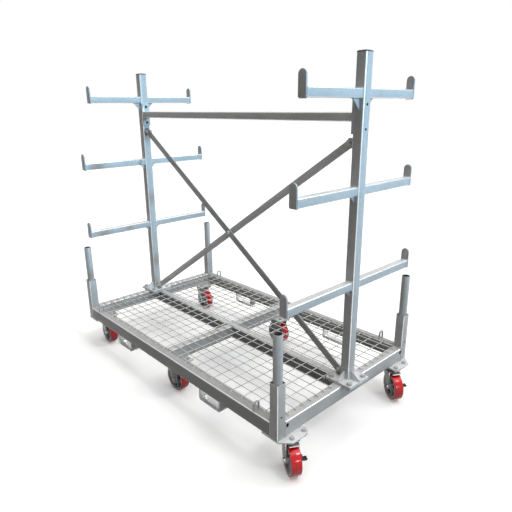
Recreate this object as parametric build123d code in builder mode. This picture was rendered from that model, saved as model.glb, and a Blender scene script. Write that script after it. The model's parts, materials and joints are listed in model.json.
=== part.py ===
from build123d import *
import os
from math import atan2, cos, degrees, hypot, radians, sin

os.makedirs("parts", exist_ok=True)

# A pipe trolley of galvanised tube: a mesh deck on six castors, four lift-out stanchions
# and two posts with hooked arms. Millimetres; X runs along the trolley, Y across it
# (front is -Y, right is +X), Z is up, and the origin is on the floor under the frame's middle.

# Deck frame
frame_length = 1800.0
frame_width = 1040.0
rail_height = 75.0
rail_width = 50.0
rail_wall = 3.0

# Welded mesh deck: its outermost bearers and lines lie this far onto the rails, and the
# others follow inwards at their pitch
wire_diameter = 5.0
wire_sides = 6
bearer_pitch = 75.0
bearer_first = 7.0
line_pitch = 50.0
line_first = 5.0
mesh_weld_gap = 0.1
mesh_middle_gap = 8.0
mesh_rail_lap = 20.0
mesh_end_lap = 29.0
mesh_clearance = 5.0

# Stanchions and their corner sockets
stanchion_diameter = 42.4
stanchion_wall = 3.2
stanchion_length = 495.0
stanchion_clearance = 1.6
socket_wall = 3.0
socket_height = 270.0

# Castor pads under the frame
pad_thickness = 8.0
pad_length = 150.0
pad_width = 162.0
pad_overhang = 50.0
pad_corner_cut = 46.0
pad_inner_cut = 15.0
middle_pad_inset = 20.0
castor_inset = 102.0

# Castors
wheel_diameter = 150.0
wheel_width = 50.0
tread_thickness = 5.0
rim_inset = 2.0
rim_band = 9.0
rim_sides = 20
web_thickness = 16.0
hub_diameter = 38.0
hub_sides = 12
axle_diameter = 20.0
axle_sides = 16
axle_nut_across = 19.0
axle_nut_height = 8.0
castor_trail = 45.0
fork_gap = 58.0
fork_thickness = 5.0
fork_end_radius = 18.0
fork_end_sides = 12
fixed_fork_end_radius = 30.0
fork_head_length = 72.0
fork_head_back = 22.0
crown_thickness = 6.0
crown_radius = 38.0
crown_sides = 24
shoe_length = 27.0
shoe_width = 46.0
wheel_clearance = 8.0
bearing_height = 17.0
bearing_diameter = 72.0
bearing_sides = 16
castor_plate_length = 140.0
castor_plate_width = 110.0
castor_plate_thickness = 6.0
castor_plate_corner = 12.0
fixed_fork_head = 96.0
kingpin_diameter = 16.0
kingpin_sides = 12
kingpin_bore_sides = 24
king_nut_across = 24.0
king_nut_height = 8.0
nut_sides = 6
lever_thickness = 5.0
lever_hub_radius = 15.0
lever_sides = 8
lever_arm = 30.0
lever_rise = 14.0
lever_toe_radius = 9.0
pedal_reach = 20.0
pedal_thickness = 6.0
pedal_width = 24.0
pedal_kick = 6.0
running_clearance = 0.05
face_clearance = 0.3

# Fork-lift pockets and lashing hoops on the side rails
pocket_spacing = 850.0
pocket_width = 150.0
pocket_height = 50.0
strap_thickness = 8.0
hoop_bar = 10.0
hoop_sides = 12
hoop_spread = 30.0
hoop_height = 48.0
hoop_end_distance = 152.0
hoop_edge_distance = 20.0

# Posts
post_size = 50.0
post_wall = 3.0
post_length = 1489.0
cap_rim = 3.0
cap_dome = 4.0
cap_slope = 60.0
foot_size = 150.0
foot_pad_thickness = 6.0
foot_plate_thickness = 8.0
foot_rib_height = 39.0
foot_rib_nose = 8.0
foot_rib_thickness = 6.0

# Arms and hooks, low, middle and top: height of each arm's middle above the rails, how far its
# hook's outside lies from the posts' middle plane, and how long its gusset's sides are; the left
# post's low and middle arms are the longer
arm_size = 40.0
arm_wall = 3.0
arm_levels = (501.0, 940.0, 1345.0)
left_arm_reaches = (470.0, 460.0, 380.0)
right_arm_reaches = (468.0, 420.0, 380.0)
hook_height = 100.0
hook_thickness = 8.0
hook_sides = 16
gusset_legs = (28.0, 28.0, 44.0)
gusset_nose = 3.0
gusset_thickness = 6.0

# Top rail and cross braces between the posts, with heights above the deck rails
top_rail_size = 40.0
top_rail_wall = 3.0
top_rail_level = 1251.0
end_plate_height = 140.0
end_plate_thickness = 8.0
brace_width = 38.0
brace_thickness = 6.0
brace_top_level = 1142.0
brace_top_inset = 26.0
brace_bottom_level = 38.0
brace_bottom_inset = 21.0
cleat_thickness = 10.0
cleat_margin = 22.0
cleat_rise = 14.0
cleat_cut = 18.0

# Places worked out from the driving dimensions
half_length = frame_length / 2
half_width = frame_width / 2
wheel_radius = wheel_diameter / 2
crown_bottom = wheel_diameter + wheel_clearance
crown_top = crown_bottom + crown_thickness
plate_bottom = crown_top + bearing_height
pad_bottom = plate_bottom + castor_plate_thickness
rail_bottom = pad_bottom + pad_thickness
rail_top = rail_bottom + rail_height
rail_middle = rail_bottom + rail_height / 2
side_rail_y = half_width - rail_width / 2
end_rail_x = half_length - rail_width / 2
socket_bore = stanchion_diameter + stanchion_clearance
socket_size = socket_bore + 2 * socket_wall
socket_x = half_length - socket_size / 2
socket_y = half_width - socket_size / 2
kingpin_x = half_length + pad_overhang - pad_length / 2
kingpin_y = half_width - castor_inset
post_x = half_length - post_size / 2
post_inner_x = half_length - post_size
post_outer_x = half_length
foot_plate_bottom = rail_top + foot_pad_thickness
foot_top = foot_plate_bottom + foot_plate_thickness
post_top = foot_top + post_length
wire_across = wire_diameter * cos(radians(180 / wire_sides))


def hollow_rectangle(width, height, wall):
    """Draws the section of a rectangular tube in the open sketch."""
    Rectangle(width, height)
    Rectangle(width - 2 * wall, height - 2 * wall, mode=Mode.SUBTRACT)


def save(piece, name):
    """Labels a finished piece and writes it."""
    piece.part.label = name
    export_step(piece.part, f"parts/{name}.step")


# Deck frame: rails between the corner sockets, a cross beam and two spine beams
with BuildPart() as side_rails:
    with BuildSketch(Plane.YZ):
        with Locations((side_rail_y, rail_middle), (-side_rail_y, rail_middle)):
            hollow_rectangle(rail_width, rail_height, rail_wall)
    extrude(amount=half_length - socket_size, both=True)
save(side_rails, "side_rails")

with BuildPart() as end_rails:
    with BuildSketch(Plane.XZ):
        with Locations((end_rail_x, rail_middle), (-end_rail_x, rail_middle)):
            hollow_rectangle(rail_width, rail_height, rail_wall)
    extrude(amount=half_width - socket_size, both=True)
save(end_rails, "end_rails")

with BuildPart() as centre_cross_beam:
    with BuildSketch(Plane.XZ):
        with Locations((0, rail_middle)):
            hollow_rectangle(rail_width, rail_height, rail_wall)
    extrude(amount=half_width - rail_width, both=True)
save(centre_cross_beam, "centre_cross_beam")

with BuildPart() as spine_beams:
    with BuildSketch(Plane.YZ.offset(rail_width / 2)):
        with Locations((0, rail_middle)):
            hollow_rectangle(rail_width, rail_height, rail_wall)
    extrude(amount=half_length - rail_width - rail_width / 2)
    mirror(about=Plane.YZ)
save(spine_beams, "spine_beams")

with BuildPart() as corner_sockets:
    with BuildSketch(Plane.XY.offset(rail_bottom)):
        with GridLocations(2 * socket_x, 2 * socket_y, 2, 2):
            hollow_rectangle(socket_size, socket_size, socket_wall)
    extrude(amount=socket_height)
save(corner_sockets, "corner_sockets")

# Welded mesh: bearer wires lie across the rails, line wires run along on top of them
bearer_z = rail_top + wire_across / 2
line_z = bearer_z + wire_across + mesh_weld_gap
deck_end = post_inner_x + mesh_end_lap
foot_half = foot_size / 2 + mesh_clearance
foot_inner_x = post_x - foot_half
end_bearer = half_length - rail_width + bearer_first
bearer_count = int((end_bearer - mesh_middle_gap) / bearer_pitch) + 1
bearers = [end_bearer - bearer_pitch * i for i in range(bearer_count)]
edge_line = half_width - rail_width + line_first
line_count = int((edge_line - mesh_middle_gap) / line_pitch) + 1
lines = [edge_line - line_pitch * i for i in range(line_count)]
socket_inner_x = half_length - socket_size - mesh_clearance
socket_inner_y = half_width - socket_size - mesh_clearance
clear_bearers = [x for x in bearers if x < foot_inner_x]
split_bearers = [x for x in bearers if x >= foot_inner_x]
long_lines = [y for y in lines if foot_half < y < socket_inner_y]
foot_lines = [y for y in lines if y <= foot_half]
edge_lines = [y for y in lines if y >= socket_inner_y]
line_ends = {deck_end: long_lines, foot_inner_x: foot_lines, socket_inner_x: edge_lines}

for side, panel_name in ((-1, "left_mesh_panel"), (1, "right_mesh_panel")):
    with BuildPart() as mesh_panel:
        with BuildSketch(Plane.XZ):
            with Locations(*[(side * x, bearer_z) for x in clear_bearers]):
                RegularPolygon(wire_diameter / 2, wire_sides)
        extrude(amount=half_width - rail_width + mesh_rail_lap, both=True)
        for across in (-1, 1):
            with BuildSketch(Plane.XZ.offset(across * foot_half)):
                with Locations(*[(side * x, bearer_z) for x in split_bearers]):
                    RegularPolygon(wire_diameter / 2, wire_sides)
            extrude(amount=across * (socket_inner_y - foot_half))
        for line_end, rows in line_ends.items():
            with BuildSketch(Plane.YZ.offset(side * mesh_middle_gap / 2)):
                with Locations(*[(across * y, line_z) for y in rows for across in (-1, 1)]):
                    RegularPolygon(wire_diameter / 2, wire_sides)
            extrude(amount=side * (line_end - mesh_middle_gap / 2))
    save(mesh_panel, panel_name)

# Castor pads: one under each corner with its outer ends cut off, and one under each side's middle
pad_outer_x = half_length + pad_overhang
pad_inner_x = pad_outer_x - pad_length
pad_inner_y = half_width - pad_width
with BuildPart() as castor_pads:
    with BuildSketch(Plane.XY.offset(pad_bottom)):
        with BuildLine():
            Polyline(
                (pad_inner_x, pad_inner_y),
                (pad_outer_x - pad_inner_cut, pad_inner_y),
                (pad_outer_x, pad_inner_y + pad_corner_cut),
                (pad_outer_x, half_width - pad_corner_cut),
                (pad_outer_x - pad_corner_cut, half_width),
                (pad_inner_x, half_width),
                close=True,
            )
        make_face()
    extrude(amount=pad_thickness)
    mirror(about=Plane.YZ)
    with BuildSketch(Plane.XY.offset(pad_bottom)):
        with Locations((0, half_width - (pad_width + middle_pad_inset) / 2)):
            Rectangle(pad_length, pad_width - middle_pad_inset)
    extrude(amount=pad_thickness)
    mirror(about=Plane.XZ)
save(castor_pads, "castor_pads")

# Fork-lift pockets: bent straps under the side rails
pocket_half = (pocket_width + strap_thickness) / 2
pocket_floor = rail_bottom - pocket_height - strap_thickness / 2
with BuildPart() as fork_pockets:
    with BuildSketch(Plane.XZ.offset(half_width - rail_width)):
        with BuildLine():
            Polyline(
                (pocket_spacing / 2 - pocket_half, rail_bottom),
                (pocket_spacing / 2 - pocket_half, pocket_floor),
                (pocket_spacing / 2 + pocket_half, pocket_floor),
                (pocket_spacing / 2 + pocket_half, rail_bottom),
            )
        trace(line_width=strap_thickness)
    extrude(amount=rail_width)
    mirror(about=Plane.YZ)
    mirror(about=Plane.XZ)
save(fork_pockets, "fork_pockets")

# Lashing hoops: bent bar on the side rails
hoop_x = half_length - hoop_end_distance
hoop_y = half_width - hoop_edge_distance
hoop_shoulder = rail_top + hoop_height - (hoop_spread + hoop_bar) / 2
with BuildPart() as lashing_hoops:
    with BuildSketch(Plane.YZ.offset(hoop_x)):
        for outline, mode in (
            (hoop_spread + hoop_bar, Mode.ADD),
            (hoop_spread - hoop_bar, Mode.SUBTRACT),
        ):
            with Locations((hoop_y, hoop_shoulder)):
                RegularPolygon(outline / 2, hoop_sides, mode=mode)
            with Locations((hoop_y, (rail_top + hoop_shoulder) / 2)):
                Rectangle(outline, hoop_shoulder - rail_top, mode=mode)
    extrude(amount=hoop_bar / 2, both=True)
    mirror(about=Plane.YZ)
    mirror(about=Plane.XZ)
save(lashing_hoops, "lashing_hoops")

# Stanchions: pipes that stand in the corner sockets on the castor pads
corners = {
    "front_left": (-1, -1),
    "front_right": (1, -1),
    "rear_left": (-1, 1),
    "rear_right": (1, 1),
}
for corner, (along, across) in corners.items():
    with BuildPart() as stanchion:
        with BuildSketch(Plane.XY.offset(rail_bottom)):
            with Locations((along * socket_x, across * socket_y)):
                Circle(stanchion_diameter / 2)
                Circle(stanchion_diameter / 2 - stanchion_wall, mode=Mode.SUBTRACT)
        extrude(amount=stanchion_length)
    save(stanchion, f"stanchion_{corner}")

# Posts with their feet and caps
with BuildPart() as foot_pads:
    with BuildSketch(Plane.XY.offset(rail_top)):
        with GridLocations(2 * post_x, 0, 2, 1):
            Rectangle(foot_size, foot_size)
    extrude(amount=foot_pad_thickness)
save(foot_pads, "foot_pads")

rib_reach = (foot_size - post_size) / 2
with BuildPart() as post_feet:
    with BuildSketch(Plane.XY.offset(foot_plate_bottom)):
        with Locations((post_x, 0)):
            Rectangle(foot_size, foot_size)
    extrude(amount=foot_plate_thickness)
    with BuildSketch(Plane.XZ):
        with BuildLine():
            Polyline(
                (post_outer_x, foot_top),
                (post_outer_x + rib_reach, foot_top),
                (post_outer_x + rib_reach, foot_top + foot_rib_nose),
                (post_outer_x + foot_rib_nose, foot_top + foot_rib_height),
                (post_outer_x, foot_top + foot_rib_height),
                close=True,
            )
        make_face()
    extrude(amount=foot_rib_thickness / 2, both=True)
    with BuildSketch(Plane.YZ.offset(post_x)):
        with BuildLine():
            Polyline(
                (post_size / 2, foot_top),
                (post_size / 2 + rib_reach, foot_top),
                (post_size / 2 + rib_reach, foot_top + foot_rib_nose),
                (post_size / 2 + foot_rib_nose, foot_top + foot_rib_height),
                (post_size / 2, foot_top + foot_rib_height),
                close=True,
            )
        make_face()
        mirror(about=Plane.YZ)
    extrude(amount=foot_rib_thickness / 2, both=True)
    mirror(about=Plane.YZ)
save(post_feet, "post_feet")

for side, post_name in ((-1, "left_post"), (1, "right_post")):
    with BuildPart() as post:
        with BuildSketch(Plane.XY.offset(foot_top)):
            with Locations((side * post_x, 0)):
                hollow_rectangle(post_size, post_size, post_wall)
        extrude(amount=post_length)
    save(post, post_name)

with BuildPart() as post_caps:
    with BuildSketch(Plane.XY.offset(post_top)):
        with GridLocations(2 * post_x, 0, 2, 1):
            Rectangle(post_size, post_size)
    extrude(amount=cap_rim)
    with BuildSketch(Plane.XY.offset(post_top + cap_rim)):
        with GridLocations(2 * post_x, 0, 2, 1):
            Rectangle(post_size, post_size)
    extrude(amount=cap_dome, taper=cap_slope)
save(post_caps, "post_caps")

# Arms on both faces of the posts, each ending in a round-topped hook plate over a gusset
post_face_y = post_size / 2
for side, arms_name, reaches in (
    (-1, "left_arms", left_arm_reaches),
    (1, "right_arms", right_arm_reaches),
):
    with BuildPart() as arms:
        for level, reach in zip(arm_levels, reaches):
            with BuildSketch(Plane.XZ.offset(post_face_y)):
                with Locations((side * post_x, rail_top + level)):
                    hollow_rectangle(arm_size, arm_size, arm_wall)
            extrude(amount=reach - hook_thickness - post_face_y)
        mirror(about=Plane.XZ)
    save(arms, arms_name)

with BuildPart() as hook_plates:
    for hook_x, reaches in ((-post_x, left_arm_reaches), (post_x, right_arm_reaches)):
        for level, reach in zip(arm_levels, reaches):
            hook_bottom = rail_top + level - arm_size / 2
            hook_round = hook_bottom + hook_height - arm_size / 2
            with BuildSketch(Plane.XZ.offset(reach - hook_thickness)):
                with Locations((hook_x, hook_round)):
                    RegularPolygon(arm_size / 2, hook_sides)
                with Locations((hook_x, (hook_bottom + hook_round) / 2)):
                    Rectangle(arm_size, hook_round - hook_bottom)
            extrude(amount=hook_thickness)
    mirror(about=Plane.XZ)
save(hook_plates, "hook_plates")

with BuildPart() as arm_gussets:
    for level, gusset_leg in zip(arm_levels, gusset_legs):
        arm_bottom = rail_top + level - arm_size / 2
        with BuildSketch(Plane.YZ.offset(post_x)):
            with BuildLine():
                Polyline(
                    (post_face_y, arm_bottom),
                    (post_face_y + gusset_leg, arm_bottom),
                    (post_face_y + gusset_leg, arm_bottom - gusset_nose),
                    (post_face_y + gusset_nose, arm_bottom - gusset_leg),
                    (post_face_y, arm_bottom - gusset_leg),
                    close=True,
                )
            make_face()
        extrude(amount=gusset_thickness / 2, both=True)
    mirror(about=Plane.XZ)
    mirror(about=Plane.YZ)
save(arm_gussets, "arm_gussets")

# Top rail between end plates on the posts' inner faces
top_rail_z = rail_top + top_rail_level
with BuildPart() as top_rail_end_plates:
    with BuildSketch(Plane.YZ.offset(post_inner_x)):
        with Locations((0, top_rail_z)):
            Rectangle(post_size, end_plate_height)
    extrude(amount=-end_plate_thickness)
    mirror(about=Plane.YZ)
save(top_rail_end_plates, "top_rail_end_plates")

with BuildPart() as top_rail:
    with BuildSketch(Plane.YZ):
        with Locations((0, top_rail_z)):
            hollow_rectangle(top_rail_size, top_rail_size, top_rail_wall)
    extrude(amount=post_inner_x - end_plate_thickness, both=True)
save(top_rail, "top_rail")

# Cross braces: flat bars that lap the cleats, one on each side of the posts' middle plane
brace_top = (post_inner_x - brace_top_inset, rail_top + brace_top_level)
brace_bottom = (post_inner_x - brace_bottom_inset, rail_top + brace_bottom_level)
brace_run = brace_top[0] + brace_bottom[0]
brace_fall = brace_top[1] - brace_bottom[1]
brace_angle = degrees(atan2(brace_fall, brace_run))
brace_middle = ((brace_bottom[0] - brace_top[0]) / 2, (brace_top[1] + brace_bottom[1]) / 2)
with BuildPart() as brace_cleats:
    with BuildSketch(Plane.XZ):
        with BuildLine():
            Polyline(
                (post_inner_x, brace_top[1] - cleat_margin),
                (post_inner_x, brace_top[1] + cleat_margin),
                (brace_top[0] - cleat_margin + cleat_cut, brace_top[1] + cleat_margin),
                (brace_top[0] - cleat_margin, brace_top[1] + cleat_margin - cleat_cut),
                (brace_top[0] - cleat_margin, brace_top[1] - cleat_margin),
                close=True,
            )
        make_face()
        with BuildLine():
            Polyline(
                (post_inner_x, foot_top),
                (post_inner_x, brace_bottom[1] + cleat_rise),
                (brace_bottom[0] - cleat_margin + cleat_cut, brace_bottom[1] + cleat_rise),
                (brace_bottom[0] - cleat_margin, brace_bottom[1] + cleat_rise - cleat_cut),
                (brace_bottom[0] - cleat_margin, foot_top),
                close=True,
            )
        make_face()
    extrude(amount=cleat_thickness / 2, both=True)
    mirror(about=Plane.YZ)
save(brace_cleats, "brace_cleats")

for face, brace_name in ((1, "front_brace"), (-1, "rear_brace")):
    with BuildPart() as brace:
        with BuildSketch(Plane.XZ.offset(face * cleat_thickness / 2)):
            with Locations((face * brace_middle[0], brace_middle[1])):
                SlotCenterToCenter(
                    hypot(brace_run, brace_fall), brace_width, rotation=-face * brace_angle
                )
        extrude(amount=face * brace_thickness)
    save(brace, brace_name)

# Castor top plates, each with a bearing housing, a kingpin and the nut that holds its fork
with BuildPart() as swivel_plates:
    for along, across in corners.values():
        kingpin_at = (along * kingpin_x, across * kingpin_y)
        with BuildSketch(Plane.XY.offset(plate_bottom)):
            with Locations(kingpin_at):
                Rectangle(castor_plate_length, castor_plate_width)
            chamfer(vertices(), length=castor_plate_corner)
        extrude(amount=castor_plate_thickness)
        with BuildSketch(Plane.XY.offset(plate_bottom)):
            with Locations(kingpin_at):
                RegularPolygon(bearing_diameter / 2, bearing_sides)
        extrude(amount=face_clearance - bearing_height)
        with BuildSketch(Plane.XY.offset(crown_top + face_clearance)):
            with Locations(kingpin_at):
                RegularPolygon(kingpin_diameter / 2, kingpin_sides)
        extrude(amount=-crown_thickness - 2 * face_clearance)
        with BuildSketch(Plane.XY.offset(crown_bottom - face_clearance)):
            with Locations(kingpin_at):
                RegularPolygon(king_nut_across / 2, nut_sides, major_radius=False)
        extrude(amount=-king_nut_height)
save(swivel_plates, "swivel_plates")


def upright_plane(x, y, heading):
    """The plane of a wheel, under its castor: local X is the way it rolls, local Y is up."""
    roll = (cos(radians(heading)), sin(radians(heading)), 0)
    away_from_axle = (sin(radians(heading)), -cos(radians(heading)), 0)
    return Plane(origin=(x, y, 0), x_dir=roll, z_dir=away_from_axle)


def fork_legs(upright, axle_x, end_radius, head_from, head_to, head_bottom, head_top):
    """Adds two tapered legs, the axle between them and its hexagon head to the open part."""
    for leg in (-1, 1):
        with BuildSketch(upright.offset(leg * fork_gap / 2)) as outline:
            with Locations((axle_x, wheel_radius)):
                RegularPolygon(end_radius, fork_end_sides)
            with Locations(((head_from + head_to) / 2, (head_bottom + head_top) / 2)):
                Rectangle(head_to - head_from, head_top - head_bottom)
            make_hull()
        extrude(outline.sketch, amount=leg * fork_thickness)
    with BuildSketch(upright) as bar:
        with Locations((axle_x, wheel_radius)):
            RegularPolygon(axle_diameter / 2, axle_sides)
    extrude(bar.sketch, amount=fork_gap / 2, both=True)
    with BuildSketch(upright.offset(leg_outside)) as head:
        with Locations((axle_x, wheel_radius)):
            RegularPolygon(axle_nut_across / 2, nut_sides, major_radius=False)
    extrude(head.sketch, amount=axle_nut_height)


# Swivel castors with the headings that they stand at: a fork with its axle and a shoe over the
# tread, and a brake lever that turns about the axle's end under its own nut
headings = {"front_left": -4.0, "front_right": -30.0, "rear_left": -5.0, "rear_right": -33.0}
leg_outside = fork_gap / 2 + fork_thickness
lever_inside = leg_outside + face_clearance
lever_outside = lever_inside + lever_thickness
head_front = fork_head_length - fork_head_back
for corner, (along, across) in corners.items():
    upright = upright_plane(along * kingpin_x, across * kingpin_y, headings[corner])
    level = Plane(
        origin=upright.origin + Vector(0, 0, crown_bottom), x_dir=upright.x_dir, z_dir=(0, 0, 1)
    )
    with BuildPart() as swivel_fork:
        with BuildSketch(level):
            RegularPolygon(crown_radius, crown_sides)
            with Locations((head_front / 2, 0)):
                Rectangle(head_front, 2 * leg_outside)
            make_hull()
            with Locations((head_front + shoe_length / 2, 0)):
                Rectangle(shoe_length, shoe_width)
            RegularPolygon(
                kingpin_diameter / 2 + running_clearance,
                kingpin_bore_sides,
                major_radius=False,
                mode=Mode.SUBTRACT,
            )
        extrude(amount=crown_thickness)
        fork_legs(
            upright,
            castor_trail,
            fork_end_radius,
            -fork_head_back,
            head_front,
            crown_bottom,
            crown_top,
        )
    save(swivel_fork, f"swivel_fork_{corner}")

    pedal_x = castor_trail + lever_arm
    pedal_z = wheel_radius + lever_rise
    across_pedal = Plane(
        origin=upright.from_local_coords((pedal_x, pedal_z, 0)),
        x_dir=-upright.z_dir,
        z_dir=upright.x_dir,
    )
    pedal_end = lever_outside + pedal_reach
    pedal_bend = pedal_end - pedal_kick
    with BuildPart() as brake_lever:
        with BuildSketch(upright.offset(-lever_inside)):
            with Locations((castor_trail, wheel_radius)):
                RegularPolygon(lever_hub_radius, lever_sides)
            with Locations((pedal_x, pedal_z)):
                RegularPolygon(lever_toe_radius, lever_sides)
            make_hull()
        extrude(amount=-lever_thickness)
        with BuildSketch(upright.offset(-lever_outside)):
            with Locations((castor_trail, wheel_radius)):
                RegularPolygon(axle_nut_across / 2, nut_sides, major_radius=False)
        extrude(amount=-axle_nut_height)
        with BuildSketch(across_pedal):
            with BuildLine():
                Polyline(
                    (lever_outside, -pedal_thickness / 2),
                    (pedal_bend, -pedal_thickness / 2),
                    (pedal_end, pedal_kick - pedal_thickness / 2),
                    (pedal_end - pedal_thickness, pedal_kick),
                    (pedal_bend - pedal_thickness, pedal_thickness / 2),
                    (lever_outside, pedal_thickness / 2),
                    close=True,
                )
            make_face()
        extrude(amount=pedal_width / 2, both=True)
    save(brake_lever, f"brake_lever_{corner}")

# Fixed castors under the middle of each side
with BuildPart() as fixed_forks:
    for across in (-1, 1):
        with BuildSketch(Plane.XY.offset(plate_bottom)):
            with Locations((0, across * kingpin_y)):
                Rectangle(castor_plate_length, castor_plate_width)
            chamfer(vertices(), length=castor_plate_corner)
        extrude(amount=castor_plate_thickness)
        fork_legs(
            upright_plane(0, across * kingpin_y, 0),
            0,
            fixed_fork_end_radius,
            -fixed_fork_head / 2,
            fixed_fork_head / 2,
            plate_bottom - castor_plate_thickness,
            plate_bottom,
        )
save(fixed_forks, "fixed_forks")

# Wheels: a cast rim with a recessed web that turns on the axle, and a tread moulded round it;
# the joint between them is drawn with flats to keep the wheels light
wheels = {
    corner: (along * kingpin_x, across * kingpin_y, headings[corner], castor_trail)
    for corner, (along, across) in corners.items()
}
wheels["front_middle"] = (0, -kingpin_y, 0, 0)
wheels["rear_middle"] = (0, kingpin_y, 0, 0)
rim_radius = wheel_radius - tread_thickness
for wheel, (x, y, heading, trail) in wheels.items():
    upright = upright_plane(x, y, heading)
    with BuildPart() as wheel_rim:
        with BuildSketch(upright):
            with Locations((trail, wheel_radius)):
                RegularPolygon(rim_radius, rim_sides)
                RegularPolygon(rim_radius - rim_band, rim_sides, mode=Mode.SUBTRACT)
        extrude(amount=wheel_width / 2 - rim_inset, both=True)
        with BuildSketch(upright):
            with Locations((trail, wheel_radius)):
                RegularPolygon(rim_radius - rim_band, rim_sides)
        extrude(amount=web_thickness / 2, both=True)
        with BuildSketch(upright):
            with Locations((trail, wheel_radius)):
                RegularPolygon(hub_diameter / 2, hub_sides)
        extrude(amount=fork_gap / 2 - face_clearance, both=True)
        with BuildSketch(upright):
            with Locations((trail, wheel_radius)):
                Circle(axle_diameter / 2 + running_clearance)
        extrude(amount=fork_gap / 2, both=True, mode=Mode.SUBTRACT)
    save(wheel_rim, f"wheel_rim_{wheel}")

    with BuildPart() as wheel_tread:
        with BuildSketch(upright):
            with Locations((trail, wheel_radius)):
                Circle(wheel_radius)
                RegularPolygon(rim_radius, rim_sides, mode=Mode.SUBTRACT)
        extrude(amount=wheel_width / 2, both=True)
    save(wheel_tread, f"wheel_tread_{wheel}")
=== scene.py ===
import json
from math import atan2, copysign, hypot, pi, radians

import bpy
from mathutils import Matrix, Vector


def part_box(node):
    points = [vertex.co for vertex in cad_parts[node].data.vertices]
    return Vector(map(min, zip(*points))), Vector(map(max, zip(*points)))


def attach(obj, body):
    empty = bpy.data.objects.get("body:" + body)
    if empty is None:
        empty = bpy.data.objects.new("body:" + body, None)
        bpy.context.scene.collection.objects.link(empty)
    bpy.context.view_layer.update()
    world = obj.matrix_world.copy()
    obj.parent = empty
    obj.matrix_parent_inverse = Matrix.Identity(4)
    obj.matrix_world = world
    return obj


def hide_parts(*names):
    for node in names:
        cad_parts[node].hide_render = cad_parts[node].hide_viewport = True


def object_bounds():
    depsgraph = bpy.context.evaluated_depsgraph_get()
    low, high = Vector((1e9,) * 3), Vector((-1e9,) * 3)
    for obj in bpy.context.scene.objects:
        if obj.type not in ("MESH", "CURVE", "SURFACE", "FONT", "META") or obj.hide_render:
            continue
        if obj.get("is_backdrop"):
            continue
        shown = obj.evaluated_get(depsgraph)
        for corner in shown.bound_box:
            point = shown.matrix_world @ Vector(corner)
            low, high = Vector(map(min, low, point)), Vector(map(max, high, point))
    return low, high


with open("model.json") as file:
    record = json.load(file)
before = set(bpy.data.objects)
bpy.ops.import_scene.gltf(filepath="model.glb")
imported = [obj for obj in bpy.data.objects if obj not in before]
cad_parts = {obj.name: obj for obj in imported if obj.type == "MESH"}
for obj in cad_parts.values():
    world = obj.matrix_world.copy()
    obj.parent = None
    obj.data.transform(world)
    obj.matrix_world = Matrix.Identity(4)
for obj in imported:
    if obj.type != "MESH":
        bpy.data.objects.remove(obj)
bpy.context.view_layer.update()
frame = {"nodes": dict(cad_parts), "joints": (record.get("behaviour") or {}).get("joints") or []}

CORNERS = ("front_left", "front_right", "rear_left", "rear_right")
MIDDLES = ("front_middle", "rear_middle")
UP = Vector((0, 0, 1))
joint_axes = {joint["name"]: Vector(joint["axis"]) for joint in frame["joints"]}
joint_places = {
    joint["name"]: Vector(joint["pos_m"]) for joint in frame["joints"] if "pos_m" in joint
}

# Sizes in metres that the looks add to the CAD parts
RAIL_CORNER = 0.0065
POST_CORNER = 0.006
ARM_CORNER = 0.006
SOCKET_CORNER = 0.005
SOCKET_EASE = 0.0006
TUBE_WALL = 0.003
SOCKET_WALL = 0.003
PIPE_WALL = 0.0032
PIPE_LIP = 0.0008
WIRE_RADIUS = 0.0025
WIRE_EASE = 0.0005
HOOP_BAR = 0.005
PLATE_EASE = 0.0012
CAP_EASE = 0.0015
STRAP = 0.008
STRAP_BEND = 0.010
STRAP_INSIDE = 0.003
CASTOR_EASE = 0.0012
FORK_BEND = 0.009
WELD_RADIUS = 0.0034
SPOT_RADIUS = 0.0048

# Holes: vents at the frame's corners and beside the spine, bolt holes and pin holes
VENT_RADIUS = 0.0096
VENT_Y = 0.459
VENT_DROP = 0.021
BEAM_VENT_RADIUS = 0.0075
BEAM_VENT_Y = 0.036
BEAM_VENT_RISE = 0.018
BEAM_VENT_DEPTH = 0.020
BOLT_HOLE_RADIUS = 0.0058
HOLE_DEPTH = 0.060
PIN_HOLE_RADIUS = 0.0048
PIN_HOLE_RISE = 0.035
SOCKET_HOLE_DEPTH = 0.008
PIPE_HOLE_DEPTH = 0.016

# Limits of the tests that pick faces and edges
FINE = 1e-5
NEAR = 1e-4
FACING = 0.9
SLANT = 0.5
FLAT_ANGLE = radians(0.5)
SECTION_WALL_SHARE = 0.45
PIPE_WALL_SHARE = 0.6


# Modelling by hand: one piece at a time is selected, opened and shaped


def take(*pieces):
    """Leaves only these pieces selected, the first of them active."""
    bpy.ops.object.select_all(action="DESELECT")
    for piece in pieces:
        piece.select_set(True)
    bpy.context.view_layer.objects.active = pieces[0]


def open_whole(piece):
    """Opens a piece with all of it selected."""
    take(piece)
    bpy.ops.object.mode_set(mode="EDIT")
    bpy.ops.mesh.select_all(action="SELECT")


def pick(piece, kind, test):
    """Opens a piece with those of its faces or edges selected that pass the test."""
    take(piece)
    bpy.context.tool_settings.mesh_select_mode = (False, kind == "EDGE", kind == "FACE")
    bpy.ops.object.mode_set(mode="EDIT")
    bpy.ops.mesh.select_all(action="DESELECT")
    bpy.ops.object.mode_set(mode="OBJECT")
    mesh = piece.data
    if kind == "FACE":
        for face in mesh.polygons:
            face.select = bool(test(face.center, face.normal))
    else:
        for edge in mesh.edges:
            start, end = (mesh.vertices[i].co for i in edge.vertices)
            edge.select = bool(test(start, end))
    bpy.ops.object.mode_set(mode="EDIT")


def leave():
    """Closes the piece that is open in edit mode."""
    bpy.ops.object.mode_set(mode="OBJECT")


def settle():
    """Writes the active piece's place, turn and scale into its mesh."""
    bpy.ops.object.transform_apply(location=True, rotation=True, scale=True)
    return bpy.context.object


def joined(pieces):
    """Makes one piece of several."""
    take(*pieces)
    if len(pieces) > 1:
        bpy.ops.object.join()
    return bpy.context.object


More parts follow.
